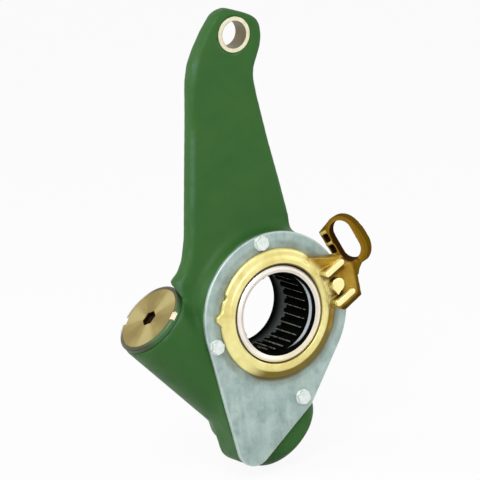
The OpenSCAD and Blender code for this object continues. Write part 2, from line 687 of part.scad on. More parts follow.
// block beside the ring, with two ribs and a pointed pad on its front
module lever_block() {
    difference() {
        from_front(block_front, block_back)
            polygon([for (q = [[0, -14], [4.5, -18], [16.5, -16.2], [19.5, -5], [20, 4], [18, 8], [8.4, 12], [-1, 17]])
                [lever_x + q[0], q[1]]]);
        // the front slopes down to the flange
        on_bore(block_front - eps) cylinder(r1 = flange_r + 3, r2 = collar_r - 1, h = flange_front - block_front);
    }
    for (q = [[7.8, 6.3], [6.6, -10.8]])
        at_lever(q) rotate([0, 90 - rib_turn, 0]) from_front(block_front - rib_h, rib_back) stadium(3.2, 13);
    at_lever([6.4, -3.2]) from_front(block_front - rib_h / 2, rib_back) union() {
        circle(r = 3.7);
        polygon([[-3.45, 0.45], [-2.5, -4.9], [2.4, -2.6]]);
    }
    // neck up to the eye
    from_front(block_front - 0.5, block_back - 0.3)
        polygon([for (q = [[12, 2], [19.8, -5.5], [21.5, -3], [24, 0], [22, 4], [17, 9], [9, 10]]) [lever_x + q[0], q[1]]]);
}
// flat loop around the slot, with a cheek at its left and two ribs across the cheek
module eye_plate() {
    left = slot_w / 2 + eye_wall + cheek_w;
    from_front(-eye_t / 2, eye_t / 2) union() {
        stadium(slot_w + 2 * eye_wall, slot_l + 2 * eye_wall);
        polygon([[-left, 9.9], [-left + 0.5, -4.5], [0, -6.5], [0, 12.6], [-4, 12.4]]);
    }
    for (z = [8.4, 2.1]) from_front(-eye_t / 2 - 0.7, 0)
        translate([-left + 0.5, z - 0.7]) square([left - slot_w / 2 - 0.7, 1.4]);
}
module lever() {
    pocket_floor = 1.6;
    pocket_rim = 1.1;
    difference() {
        union() {
            rotate([0, -lever_lean, 0]) lever_block();
            in_eye() eye_plate();
        }
        in_eye() from_front(-2 * eye_t, 2 * eye_t) stadium(slot_w, slot_l);
        // two pockets in the cheek, with a thin rim at their left
        in_eye() for (q = [[3.2, 7.4], [-3.4, 1.1]])
            translate([-slot_w / 2 - eye_wall - cheek_w + pocket_rim, -eye_t, q[0]])
                cube([eye_wall + cheek_w - pocket_rim - 1.2, 1.5 * eye_t - pocket_floor, q[1] - q[0]]);
        // keep clear of the ring opening, the plate and the hub
        on_bore(-60) cylinder(r = collar_r - 1, h = 80);
        on_bore(flange_back) cylinder(r = plate_r + 0.8, h = 40);
    }
}
// disc of the flange, with a round front edge
module flange_body() {
    on_bore(0) rotate_extrude() union() {
        translate([0, flange_front]) square([flange_r - flange_edge, flange_back - flange_front]);
        translate([0, flange_front + flange_edge]) square([flange_r, flange_back - flange_front - flange_edge]);
        translate([flange_r - flange_edge, flange_front + flange_edge]) intersection() {
            circle(r = flange_edge);
            translate([-flange_edge, -flange_edge]) square([2 * flange_edge, flange_edge + 0.1]);
        }
    }
}
module control_arm() {
    tab_a = 172;
    inner_r = wheel_hub_r + 0.8;
    groove_y = plate_front + plate_t / 2;
    color([0.82, 0.69, 0.29]) union() {
        difference() {
            union() {
                on_bore(flange_back - 0.1) cylinder(r = tube_r, h = disc_back - flange_back + 0.1);
                flange_body();
                on_bore(collar_front + 0.5) cylinder(r = collar_r, h = flange_front - collar_front);
                on_bore(collar_front) cylinder(r1 = collar_r - 0.5, r2 = collar_r, h = 0.5);
                from_front(flange_front, flange_back) polygon([for (q = [[flange_r - 2, -9], [flange_r + 2.6, -1.5],
                    [flange_r + 2.6, 2], [flange_r - 2, 10]]) q[0] * [cos(tab_a + q[1]), sin(tab_a + q[1])]]);
            }
            on_bore(collar_front - 1) cylinder(r = wheel_hub_r + run, h = 30);
            on_bore(collar_front - 1) cylinder(r = inner_r, h = flange_back - collar_front + 1);
            on_bore(groove_y - 0.9) difference() {
                cylinder(r = tube_r + 1, h = 1.8);
                translate([0, 0, -1]) cylinder(r = tube_r - 1.4, h = 4);
            }
            rotate([0, -153, 0]) translate([flange_r + 0.4, flange_back - 10, 0]) rotate([-90, 0, 0])
                cylinder(r = 1.7, h = 12);
            at_disc_pins() cylinder(r = pin_r, h = pin_l);
        }
        lever();
    }
}
pin_r = 1.1;
pin_l = disc_back - disc_front;
module at_disc_pins() {
    for (a = [60, 180, 300]) rotate([0, a, 0]) translate([tube_r, disc_front, 0]) rotate([-90, 0, 0]) children();
}
module control_disc() {
    color([0.58, 0.57, 0.52]) difference() {
        bore_ring(disc_r, tube_r + slip, disc_front, disc_back);
        gear_frame() rotate([0, -atan(dog_x / rack_z), 0])
            translate([-dog_r - dog_play, disc_front - 1, -disc_r - 2])
                cube([2 * (dog_r + dog_play), disc_back - disc_front + 2, disc_r + 2 - rack_z + dog_r + 0.1]);
        at_disc_pins() cylinder(r = pin_r, h = pin_l);
    }
}
module disc_pins() {
    color([0.75, 0.75, 0.76]) at_disc_pins() cylinder(r = pin_r, h = pin_l);
}
module collar_oring() {
    color([0.05, 0.05, 0.05]) on_bore(plate_front + plate_t / 2) torus(tube_r - 0.69, 0.69);
}
module hub_oring() {
    color([0.05, 0.05, 0.05]) on_bore(flange_back - 0.6) torus(wheel_hub_r + 0.42, 0.37);
}

housing();
clevis_bush();
cover_gasket();
cover_plate();
cover_screws();
end_cover();
end_cover_oring();
coil_spring();
upper_race();
ball_cage();
thrust_balls();
lower_race();
worm_shaft();
clutch_wheel();
clutch_spring();
pinion();
lower_bush();
hex_seal();
rack();
worm_wheel();
rear_oring();
control_arm();
control_disc();
disc_pins();
collar_oring();
hub_oring();
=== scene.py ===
"""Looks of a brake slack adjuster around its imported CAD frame: cast forms, finishes, light and camera."""
import json
import math

import bpy
import numpy as np
from mathutils import Matrix, Vector
from mathutils.bvhtree import BVHTree


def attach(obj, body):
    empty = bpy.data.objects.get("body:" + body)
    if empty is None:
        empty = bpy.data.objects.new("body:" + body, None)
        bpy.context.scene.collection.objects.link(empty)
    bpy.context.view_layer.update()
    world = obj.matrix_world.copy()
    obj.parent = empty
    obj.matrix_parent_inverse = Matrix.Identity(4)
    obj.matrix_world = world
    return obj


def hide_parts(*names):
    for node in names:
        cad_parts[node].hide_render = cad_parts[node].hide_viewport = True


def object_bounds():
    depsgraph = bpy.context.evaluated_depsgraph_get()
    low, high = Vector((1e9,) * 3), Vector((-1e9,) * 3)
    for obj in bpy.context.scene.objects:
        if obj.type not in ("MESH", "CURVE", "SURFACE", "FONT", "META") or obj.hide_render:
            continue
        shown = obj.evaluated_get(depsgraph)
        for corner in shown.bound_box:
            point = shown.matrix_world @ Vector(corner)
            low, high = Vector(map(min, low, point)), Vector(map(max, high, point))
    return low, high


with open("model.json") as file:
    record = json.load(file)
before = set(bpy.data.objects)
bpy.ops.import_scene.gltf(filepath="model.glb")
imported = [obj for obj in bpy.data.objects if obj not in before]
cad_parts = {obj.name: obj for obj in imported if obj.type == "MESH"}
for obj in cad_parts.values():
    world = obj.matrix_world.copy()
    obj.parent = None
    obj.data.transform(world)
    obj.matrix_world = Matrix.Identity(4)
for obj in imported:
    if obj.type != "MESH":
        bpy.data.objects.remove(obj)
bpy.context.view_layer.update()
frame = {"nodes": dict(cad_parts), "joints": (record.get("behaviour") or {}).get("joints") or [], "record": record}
nodes = frame["nodes"]
joints = {joint["name"]: joint for joint in frame["joints"]}
mounts = {mount["name"]: mount for mount in frame["record"]["mounts"]}

MM = 0.001
UP = Vector((0, 0, 1))
BORE_AXIS = Vector((0, 1, 0))
worm_at = Vector(joints["worm_turn"]["pos_m"])
worm_axis = Vector(joints["worm_turn"]["axis"]).normalized()
# Direction from the worm away from the bore
worm_outward = worm_axis.cross(BORE_AXIS)
clevis_at = Vector(mounts["clevis_pin_bore"]["pos_m"])
clevis_r = mounts["clevis_pin_bore"]["dims"]["r_mm"] * MM

# Places in the finishes, in millimetres. Unless its comment says otherwise, a pair says where a change
# starts and where it is complete.

# The splines: their number, and their front and rear ends along the bore
SPLINES = 26
SPLINES_FRONT = -14.9
SPLINES_REAR = 7.1
# The hub, out from the bore: inner bevel of its ring, start of the bore painted dark as shade, start of the
# painted bright crescent
HUB_BEVEL = (23.3, 22.9)
BORE_WALL = (21.75, 21.62)
CRESCENT = (20.72, 20.82)
# The plate, out from the bore: darker patches round the control arm, and the ring's painted shadow
PLATE_DARKER = (39.0, 36.5)
RING_SHADOW = (36.4, 34.2)
# The control arm, out from the bore: lip round the hub, slope of the ring, lever, block and slotted eye
HUB_LIP = (26.7, 26.3)
RING_SLOPE = (29.5, 30.3)
LEVER_START = (29.8, 33.0)
BLOCK_START = (34.5, 36.0)
EYE_START = (45.0, 48.0)
# Tops of the lever's ribs, along the bore
RIB_TOPS = (-24.9, -25.4)
# The part of the control arm ring that carries the lever, as angles from X toward Z, in radians
LEVER_SECTOR = (-0.42, 0.86)
# Direction in which painted shade darkens the ring and the plate beside it, and where along it
LOW_RIGHT = Vector((0.5, 0, -0.87))
LOW_RIGHT_FADE = (8, 21)
# The end cover, out from the worm's axis: dark line round its face, rim, and change from metal to paint
COVER_LINE = (17.6, 17.9)
COVER_RIM = (18.0, 18.3)
COVER_PAINT = (17.9, 18.3)
# Below the end cover's face, along the worm: its notches and its hexagon
COVER_NOTCH = (45.9, 45.5)
COVER_HEXAGON = (46.0, 45.4)
# Where the fan of light on the end cover starts, in radians
FAN_TURN = 1.2
# The slotted eye of the control arm: its middle and axis, and the directions across and along its slot
eye_at = Vector(mounts["anchor_slot"]["pos_m"])
eye_axis = Vector(mounts["anchor_slot"]["axis"]).normalized()
EYE_LEAN = math.radians(26)
SLOT_W = 12.4
SLOT_L = 21.6
EYE_WALL = 2.6
eye_flat = UP.cross(eye_axis)
eye_across = eye_flat * math.cos(EYE_LEAN) + UP * math.sin(EYE_LEAN)
eye_along = UP * math.cos(EYE_LEAN) - eye_flat * math.sin(EYE_LEAN)
# Painted highlights of the two bars on the cheek of the eye, along the slot
CHEEK_BARS = ((1.3, 2.9), (7.6, 9.2))
# Lower and right edges of the lever's block: outward direction, place along it and width of the slope painted dark
# as shade
BLOCK_EDGES = ((Vector((0.478, 0, -0.879)), 22.6, 3.8), (Vector((0.996, 0, 0.087)), 47.2, 3.0))
# Upper rib of the lever: its middle, and the directions along it and to its shaded side
rib_at = Vector((31.5, 0, 18.2)) * MM
RIB_RUN = Vector((0.891, 0, 0.454))
RIB_SHADE = Vector((0.454, 0, -0.891))


# Colours

def srgb(r, g, b):
    """A colour read as it is seen, 0 to 255, as the linear value that a shader takes."""
    def linear(c):
        c /= 255
        return c / 12.92 if c <= 0.04045 else ((c + 0.055) / 1.055) ** 2.4
    return (linear(r), linear(g), linear(b), 1.0)


# Finishes

class Finish:
    """A material with one main shader. Its coordinates are the part's own frame at rest, in millimetres."""

    def __init__(self, name, roughness=0.5, metallic=0.0):
        self.mat = bpy.data.materials.new(name)
        self.mat.use_nodes = True
        self.tree = self.mat.node_tree
        self.shader = self.tree.nodes["Principled BSDF"]
        self.shader.inputs["Roughness"].default_value = roughness
        self.shader.inputs["Metallic"].default_value = metallic
        place = self.tree.nodes.new("ShaderNodeTexCoord")
        self.normal = place.outputs["Normal"]
        scale = self.vector_math("SCALE", place.outputs["Object"])
        scale.inputs["Scale"].default_value = 1 / MM
        self.at = scale.outputs[0]

    def put(self, value, socket):
        """Sets a socket to a number or colour, or links it to another node's output."""
        if isinstance(value, bpy.types.NodeSocket):
            self.tree.links.new(value, socket)
        else:
            socket.default_value = value

    def math(self, operation, a, b=0.0, c=0.0):
        node = self.tree.nodes.new("ShaderNodeMath")
        node.operation = operation
        for value, socket in zip((a, b, c), node.inputs):
            self.put(value, socket)
        return node.outputs[0]

    def vector_math(self, operation, first, second=None):
        """The node that works on an output and, where it is given, on a fixed vector."""
        node = self.tree.nodes.new("ShaderNodeVectorMath")
        node.operation = operation
        self.put(first, node.inputs[0])
        if second is not None:
            node.inputs[1].default_value = second
        return node

    def moved(self, stretch, turn):
        """The coordinates, turned and stretched, for a grain that runs one way."""
        node = self.tree.nodes.new("ShaderNodeMapping")
        self.put(self.at, node.inputs["Vector"])
        node.inputs["Rotation"].default_value = turn
        node.inputs["Scale"].default_value = stretch
        return node.outputs[0]

    def noise(self, size, detail=3.0, rough=0.55, at=None, warp=0.0):
        """Soft mottling whose patches are about size millimetres wide, from 0 to 1."""
        node = self.tree.nodes.new("ShaderNodeTexNoise")
        self.put(at or self.at, node.inputs["Vector"])
        node.inputs["Scale"].default_value = 1 / size
        node.inputs["Detail"].default_value = detail
        node.inputs["Roughness"].default_value = rough
        node.inputs["Distortion"].default_value = warp
        return node.outputs["Fac"]

    def cells(self, size):
        """A value from 0 to 1 for each crystal-like cell about size millimetres wide."""
        node = self.tree.nodes.new("ShaderNodeTexVoronoi")
        self.put(self.at, node.inputs["Vector"])
        node.inputs["Scale"].default_value = 1 / size
        parts = self.tree.nodes.new("ShaderNodeSeparateColor")
        self.put(node.outputs["Color"], parts.inputs[0])
        return parts.outputs[0]

    def ramp(self, fac, *stops):
        """Colours along a value; each stop is (place, colour)."""
        node = self.tree.nodes.new("ShaderNodeValToRGB")
        ramp = node.color_ramp
        while len(ramp.elements) < len(stops):
            ramp.elements.new(0.5)
        for element, (place, colour) in zip(ramp.elements, stops):
            element.position = place
            element.color = colour
        self.put(fac, node.inputs["Fac"])
        return node.outputs["Color"]

    def range(self, value, low, high, to_low=0.0, to_high=1.0):
        """Eases from to_low to to_high while the value goes from low to high."""
        node = self.tree.nodes.new("ShaderNodeMapRange")
        node.interpolation_type = "SMOOTHSTEP"
        self.put(value, node.inputs["Value"])
        limits = {"From Min": low, "From Max": high, "To Min": to_low, "To Max": to_high}
        for name, number in limits.items():
            node.inputs[name].default_value = number
        return node.outputs["Result"]

    def mix(self, fac, a, b):
        """Colour a where fac is 0, and colour b where it is 1."""
        node = self.tree.nodes.new("ShaderNodeMix")
        node.data_type = "RGBA"
        self.put(fac, node.inputs["Factor"])
        by_name = {socket.identifier: socket for socket in node.inputs}
        self.put(a, by_name["A_Color"])
        self.put(b, by_name["B_Color"])
        return next(socket for socket in node.outputs if socket.identifier == "Result_Color")

    def across(self, axis, at):
        """Distance from an axis through a point, and distance along it, in millimetres."""
        from_point = self.vector_math("SUBTRACT", self.at, Vector(at) / MM).outputs[0]
        along = self.dot(from_point, axis)
        full = self.vector_math("LENGTH", from_point).outputs["Value"]
        square = self.math("SUBTRACT", self.math("POWER", full, 2.0),
                           self.math("POWER", self.math("ABSOLUTE", along), 2.0))
        return self.math("SQRT", self.math("MAXIMUM", square, 0.0)), along

    def dot(self, vector, direction):
        return self.vector_math("DOT_PRODUCT", vector, direction).outputs["Value"]

    def facing(self, direction):
        """1 where the surface faces a direction of the part's frame, -1 where it faces away."""
        return self.dot(self.normal, Vector(direction).normalized())

    def angle(self, toward, beside, at=(0, 0, 0)):
        """Turn around an axis, in radians, from one direction across it to another."""
        return self.math("ARCTAN2", self.offset(beside, at), self.offset(toward, at))

    def offset(self, direction, at):
        """Distance along a direction from a point, in millimetres."""
        return self.math("SUBTRACT", self.dot(self.at, direction), Vector(at).dot(direction) / MM)

    def slot_far(self, across, along):
        """Distance from the middle line of the eye's slot, in millimetres."""
        over = self.math("SUBTRACT", self.math("ABSOLUTE", along), (SLOT_L - SLOT_W) / 2)
        over = self.math("MAXIMUM", over, 0.0)
        return self.math("SQRT", self.math("MULTIPLY_ADD", across, across, self.times(over, over)))

    def times(self, first, *others):
        for other in others:
            first = self.math("MULTIPLY", first, other)
        return first

    def band(self, value, low, high, soft):
        """1 between low and high, easing to 0 within soft outside them."""
        return self.times(self.range(value, low - soft, low), self.range(value, high + soft, high))

    def attribute(self, name):
        node = self.tree.nodes.new("ShaderNodeAttribute")
        node.attribute_name = name
        return node.outputs["Fac"]

    def rounded(self, radius):
        """A normal that rounds sharp edges by radius millimetres."""
        node = self.tree.nodes.new("ShaderNodeBevel")
        node.samples = 6
        node.inputs["Radius"].default_value = radius * MM
        return node.outputs[0]

    def bump(self, height, depth, normal=None):
        """Relief of the given depth in millimetres."""
        node = self.tree.nodes.new("ShaderNodeBump")
        node.inputs["Strength"].default_value = 1.0
        node.inputs["Distance"].default_value = depth * MM
        self.put(height, node.inputs["Height"])
        if normal is not None:
            self.put(normal, node.inputs["Normal"])
        return node.outputs[0]

    def set(self, **inputs):
        """Feeds the main shader; a name's underscores stand for spaces."""
        for name, value in inputs.items():
            self.put(value, self.shader.inputs[name.replace("_", " ")])
        return self.mat


def steel(name, dark, light, roughness):
    """Worked steel or bronze: mottled tone, fine scratches and slightly broken edges."""
    f = Finish(name, metallic=0.9)
    mottle = f.noise(7.5)
    fine = f.noise(0.625, detail=5.0)
    tone = f.ramp(mottle, (0.3, dark), (0.7, light))
    gloss = f.range(fine, 0.25, 0.75, roughness - 0.08, roughness + 0.1)
    return f.set(Base_Color=tone, Roughness=gloss, Normal=f.bump(fine, 0.015, f.rounded(0.25)))


def rubber(name):
    """Black rubber or sealing sheet with a fine dull grain."""
    f = Finish(name)
    tone = f.ramp(f.noise(2.0), (0.3, srgb(16, 16, 17)), (0.75, srgb(34, 34, 35)))
    return f.set(Base_Color=tone, Roughness=f.range(f.noise(0.6), 0.3, 0.7, 0.55, 0.75),
                 Normal=f.bump(f.noise(0.35), 0.01))


def green_paint():
    """Green paint over a sand casting: even film, faint sags, paler edges where it is worn thin with a painted
    highlight on them, painted shade on its right side, undersides and hollows.
    """
    f = Finish("green_paint")
    broad = f.noise(30, detail=2.0)
    patch = f.noise(7, detail=4.0)
    tone = f.ramp(broad, (0.3, srgb(48, 94, 42)), (0.5, srgb(52, 97, 43)), (0.72, srgb(57, 100, 46)))
    tone = f.mix(f.range(patch, 0.5, 0.8, 0.0, 0.3), tone, srgb(44, 86, 44))
    # paler edges: the paint is worn thin there, and a painted highlight runs along them
    edge = f.range(f.attribute("edge"), 0.2, 0.6, 0.0, 0.4)
    wear_and_highlight = f.times(edge, f.range(f.noise(22, detail=3.0), 0.45, 0.65))
    tone = f.mix(wear_and_highlight, tone, srgb(98, 130, 112))
    # painted shade on the side that faces +X
    right_side = f.range(f.facing((1, 0.1, 0)), 0.3, 0.9, 0.0, 0.45)
    tone = f.mix(right_side, tone, srgb(30, 56, 26))
    # painted shade on the undersides
    shaded_underside = f.range(f.facing((0.3, -0.2, -1)), 0.3, 0.9, 0.0, 0.6)
    tone = f.mix(shaded_underside, tone, srgb(40, 62, 22))
    # painted shade in the hollows
    hollow = f.range(f.attribute("hollow"), 0.12, 0.5, 0.0, 0.75)
    tone = f.mix(hollow, tone, srgb(26, 54, 18))
    sand = f.noise(1.3, detail=4.0, rough=0.6)
    peel = f.noise(0.55, detail=1.0)
    relief = f.bump(sand, 0.07, f.bump(peel, 0.015))
    return f.set(Base_Color=tone, Roughness=f.range(patch, 0.3, 0.7, 0.4, 0.52), Normal=relief,
                 Specular_IOR_Level=0.16)


def galvanised():
    """Zinc plated sheet: soft crystal patches, rolling streaks, darker patches round the ring with its painted
    shadow to the lower right, and a paler rim.
    """
    f = Finish("galvanised_sheet", metallic=0.45)
    shift = f.noise(9, detail=2.0)
    crystal = f.cells(4.0)
    small = f.cells(1.3)
    tone = f.ramp(shift, (0.25, srgb(140, 160, 156)), (0.5, srgb(160, 181, 176)),
                  (0.78, srgb(182, 199, 193)))
    tone = f.mix(f.range(crystal, 0.5, 1.0, 0.0, 0.22), tone, srgb(190, 206, 200))
    tone = f.mix(f.range(crystal, 0.4, 0.0, 0.0, 0.22), tone, srgb(132, 150, 150))
    tone = f.mix(f.range(small, 0.5, 1.0, 0.0, 0.1), tone, srgb(200, 214, 210))
    streak = f.noise(3.0, detail=4.0, at=f.moved(stretch=(1.0, 1.0, 0.16), turn=(0, 0.35, 0)))
    tone = f.mix(f.range(streak, 0.52, 0.72, 0.0, 0.3), tone, srgb(196, 212, 206))
    tone = f.mix(f.range(streak, 0.42, 0.28, 0.0, 0.3), tone, srgb(128, 146, 144))
    from_bore = f.across(BORE_AXIS, (0, 0, 0))[0]
    # darker in patches round the control arm ring
    darker_round_ring = f.times(f.range(from_bore, *PLATE_DARKER), f.range(f.noise(14), 0.35, 0.6, 0.2, 0.6))
    tone = f.mix(darker_round_ring, tone, srgb(120, 122, 96))
    # painted shadow of the control arm ring on the plate, to its lower right
    low_right = f.range(f.dot(f.at, LOW_RIGHT), *LOW_RIGHT_FADE)
    tone = f.mix(f.times(low_right, f.range(from_bore, *RING_SHADOW, 0.0, 0.8)), tone, srgb(92, 78, 40))
    edge = f.range(f.attribute("edge"), 0.08, 0.4, 0.0, 0.8)
    tone = f.mix(edge, tone, srgb(206, 220, 212))
    gloss = f.range(shift, 0.3, 0.7, 0.38, 0.54)
    return f.set(Base_Color=tone, Roughness=gloss, Normal=f.bump(streak, 0.03, f.bump(small, 0.015)))


def yellow_zinc():
    """Yellow passivated zinc: straw on the turned ring, amber on the lever, olive brown on the eye,
    rib tops pale with wear and a painted highlight, painted shade on slopes, walls and hollows."""
    f = Finish("yellow_zinc")
    film = f.noise(11, detail=2.5, warp=0.6)
    fine = f.noise(1.1, detail=5.0)
    out, along = f.across(BORE_AXIS, (0, 0, 0))
    to_low_right = f.dot(f.at, LOW_RIGHT)
    straw = f.ramp(film, (0.25, srgb(222, 206, 128)), (0.5, srgb(238, 226, 152)),
                   (0.75, srgb(248, 240, 172)))
    # painted shade: the lower right of the ring turns olive, and the lip round the hub is brown, most on its upper
    # left
    slope = f.times(f.range(to_low_right, *LOW_RIGHT_FADE), f.range(out, *RING_SLOPE, 0.0, 0.92))
    straw = f.mix(slope, straw, srgb(104, 86, 24))
    lip = f.times(f.range(to_low_right, 10, -8, 0.1, 0.9), f.range(out, *HUB_LIP))
    straw = f.mix(lip, straw, srgb(66, 46, 14))
    amber = f.ramp(film, (0.25, srgb(142, 102, 30)), (0.45, srgb(166, 130, 46)),
                   (0.6, srgb(176, 144, 58)), (0.8, srgb(190, 130, 56)))
    beside = f.band(f.angle((1, 0, 0), (0, 0, 1)), *LEVER_SECTOR, 0.15)
    tone = f.mix(f.times(beside, f.range(out, *LEVER_START)), straw, amber)
    # painted shade on the lower and right slopes of the block, and painted shadow beside the upper rib
    for outward, place, width in BLOCK_EDGES:
        inside = f.math("SUBTRACT", place, f.dot(f.at, outward))
        dark = f.times(f.range(out, *BLOCK_START), f.range(inside, width, 0.4 * width, 0.0, 0.88))
        tone = f.mix(dark, tone, srgb(58, 38, 8))
    shade = f.times(f.band(f.offset(RIB_SHADE, rib_at), 1.4, 4.0, 2.0),
                    f.band(f.offset(RIB_RUN, rib_at), -6.0, 5.0, 1.5), 0.75)
    tone = f.mix(shade, tone, srgb(84, 52, 10))
    # the eye: darker to the outside, painted shade on its walls and darkest in the slot, pale bars on the cheek as
    # painted highlights
    across = f.offset(eye_across, eye_at)
    slot_along = f.offset(eye_along, eye_at)
    far = f.slot_far(across, slot_along)
    eye = f.range(out, *EYE_START)
    inner = f.ramp(f.noise(6, detail=2.0), (0.3, srgb(146, 104, 26)), (0.7, srgb(170, 128, 44)))
    olive = f.mix(f.range(far, 6.4, 9.4), inner, srgb(122, 95, 18))
    tone = f.mix(eye, tone, olive)
    front = f.facing(eye_axis)
    wall = f.range(f.math("ABSOLUTE", front), 0.85, 0.45)
    tone = f.mix(f.times(eye, wall, 0.9), tone, srgb(104, 76, 12))
    in_slot = f.times(eye, wall, f.range(far, 7.2, 6.5, 0.0, 0.95))
    tone = f.mix(in_slot, tone, srgb(56, 29, 5))
    for low, high in CHEEK_BARS:
        bar = f.times(f.band(slot_along, low, high, 0.35), f.range(across, -6.6, -7.2),
                      f.range(front, 0.5, 0.8, 0.0, 0.9))
        tone = f.mix(f.times(eye, bar), tone, srgb(240, 218, 124))
    # painted shade in the pockets and hollows that the arm itself shuts in
    tone = f.mix(f.range(f.attribute("deep"), 0.3, 0.7, 0.0, 0.95), tone, srgb(50, 26, 5))
    # rib tops paler with wear and a painted highlight
    wear_and_highlight = f.times(f.range(along, *RIB_TOPS), beside, f.band(out, 30.0, 45.0, 1.0))
    tone = f.mix(wear_and_highlight, tone, srgb(252, 244, 178))
    edge = f.times(f.range(f.attribute("edge"), 0.15, 0.5, 0.0, 0.5), f.range(out, 48.0, 44.0))
    tone = f.mix(edge, tone, srgb(246, 234, 168))
    return f.set(Base_Color=tone, Roughness=f.range(fine, 0.25, 0.75, 0.3, 0.46), Specular_IOR_Level=0.0,
                 Metallic=f.range(out, 44.0, 47.0, 0.7, 0.05), Normal=f.bump(fine, 0.03))


def end_cover_finish():
    """Turned face in a tan passivated film, with a painted fan of light and dark that stands for how its turning
    reflects the light.
    """
    f = Finish("tan_turned")
    out, along = f.across(worm_axis, worm_at)
    turn = f.angle(BORE_AXIS, worm_outward, worm_at)
    fan = f.math("SINE", f.math("MULTIPLY_ADD", turn, 3.0, FAN_TURN))
    rings = f.math("SINE", f.times(out, 9.0))
    film = f.noise(9, detail=2.0)
    tone = f.ramp(film, (0.3, srgb(140, 122, 60)), (0.55, srgb(154, 138, 76)), (0.8, srgb(166, 144, 86)))
    tone = f.mix(f.range(fan, 0.1, 1.0, 0.0, 0.6), tone, srgb(196, 184, 124))
    tone = f.mix(f.range(fan, -0.2, -1.0, 0.0, 0.55), tone, srgb(126, 106, 46))
    tone = f.mix(f.range(rings, -1.0, 1.0, 0.0, 0.06), tone, srgb(214, 202, 150))
    # green paint covers the front of the rim, and its back is pale;
    # its sides toward the bore and away from it are dark with painted shade
    backward = f.offset(BORE_AXIS, worm_at)
    rim = f.mix(f.range(backward, 5.0, -4.0), srgb(184, 178, 150), srgb(50, 94, 42))
    sideways = f.math("ABSOLUTE", f.offset(worm_outward, worm_at))
    rim = f.mix(f.range(sideways, 9.0, 16.0, 0.0, 0.9), rim, srgb(42, 50, 14))
    tone = f.mix(f.range(out, *COVER_LINE), tone, srgb(84, 56, 16))
    tone = f.mix(f.range(out, *COVER_RIM), tone, rim)
    # painted highlight: the notches' walls and floors are near white, as if lit
    notch = f.times(f.range(along, *COVER_NOTCH), f.band(out, 14.0, 19.0, 0.2))
    tone = f.mix(notch, tone, srgb(250, 240, 222))
    # painted shade: the hexagon socket is near black
    hexagon = f.times(f.range(along, *COVER_HEXAGON), f.range(out, 5.4, 5.0))
    tone = f.mix(hexagon, tone, srgb(46, 26, 8))
    fine = f.noise(0.8, detail=5.0)
    return f.set(Base_Color=tone, Roughness=f.range(fine, 0.3, 0.7, 0.34, 0.48),
                 Metallic=f.range(out, *COVER_PAINT, 0.6, 0.0), Normal=f.bump(rings, 0.01, f.rounded(0.4)))


def hub_finish():
    """Worm wheel: pale turned end rings, and a bore painted dark as shade, with light spline lines and a bright
    crescent as painted highlights.
    """
    f = Finish("hub_steel")
    out, along = f.across(BORE_AXIS, (0, 0, 0))
    fine = f.noise(1.0, detail=5.0)
    tone = f.ramp(f.noise(12), (0.3, srgb(240, 232, 218)), (0.55, srgb(250, 244, 232)),
                  (0.75, srgb(248, 236, 230)))
    tone = f.mix(f.range(f.dot(f.at, LOW_RIGHT), 8, 24, 0.0, 0.45), tone, srgb(236, 224, 168))
    tone = f.mix(f.range(out, *HUB_BEVEL, 0.0, 0.3), tone, srgb(178, 162, 160))
    # painted shade makes the bore nearly black; a painted highlight makes one light line on each spline, broken
    # here and there
    dark = f.ramp(f.noise(3.0, detail=4.0), (0.3, srgb(6, 8, 5)), (0.75, srgb(18, 20, 16)))
    pitch = 2 * math.pi / SPLINES
    place = f.math("WRAP", f.math("DIVIDE", f.angle((1, 0, 0), (0, 0, 1)), pitch), 0.5, -0.5)
    crest = f.times(f.band(place, 0.26, 0.32, 0.04), f.range(f.noise(2.5, detail=3.0), 0.3, 0.6, 0.1, 0.9),
                    f.band(along, SPLINES_FRONT + 2.0, SPLINES_REAR, 1.0))
    bore = f.mix(crest, dark, srgb(168, 170, 160))
    # behind the splines the bore is grey, and painted shade darkens it to the rear
    rear = f.mix(f.range(along, SPLINES_REAR, SPLINES_REAR + 11), srgb(104, 108, 108), srgb(10, 12, 10))
    bore = f.mix(f.range(along, SPLINES_REAR - 0.1, SPLINES_REAR + 0.1), bore, rear)
    # painted highlight: the bright crescent on the right of the front bevel, narrow at its ends
    right_side = f.range(f.dot(f.at, (1, 0, -0.25)), 6, 20)
    start = f.math("MULTIPLY_ADD", right_side, -2.2, SPLINES_FRONT + 0.2)
    crescent = f.times(f.range(f.math("SUBTRACT", along, start), 0.0, 0.5),
                       f.range(along, SPLINES_FRONT + 0.1, SPLINES_FRONT),
                       f.range(out, *CRESCENT), right_side)
    bore = f.mix(crescent, bore, srgb(206, 214, 220))
    tone = f.mix(f.range(out, *BORE_WALL), tone, bore)
    return f.set(Base_Color=tone, Roughness=f.range(fine, 0.25, 0.75, 0.28, 0.42), Specular_IOR_Level=0.0,
                 Metallic=f.range(out, *BORE_WALL, 0.75, 0.0), Normal=f.bump(fine, 0.01, f.rounded(0.35)))


def bush_finish():
    """Turned bush: cream rims, and a darker bore."""
    f = Finish("bush_steel", metallic=0.6)
    tone = f.ramp(f.noise(4), (0.3, srgb(216, 208, 168)), (0.7, srgb(242, 238, 212)))
    out = f.across(BORE_AXIS, clevis_at)[0]
    inside = f.range(out, clevis_r / MM + 0.3, clevis_r / MM + 0.05, 0.0, 0.9)
    tone = f.mix(inside, tone, srgb(88, 74, 40))
    fine = f.noise(0.7, detail=5.0)
    return f.set(Base_Color=tone, Roughness=f.range(fine, 0.3, 0.7, 0.3, 0.44),
                 Normal=f.bump(fine, 0.015, f.rounded(0.4)))


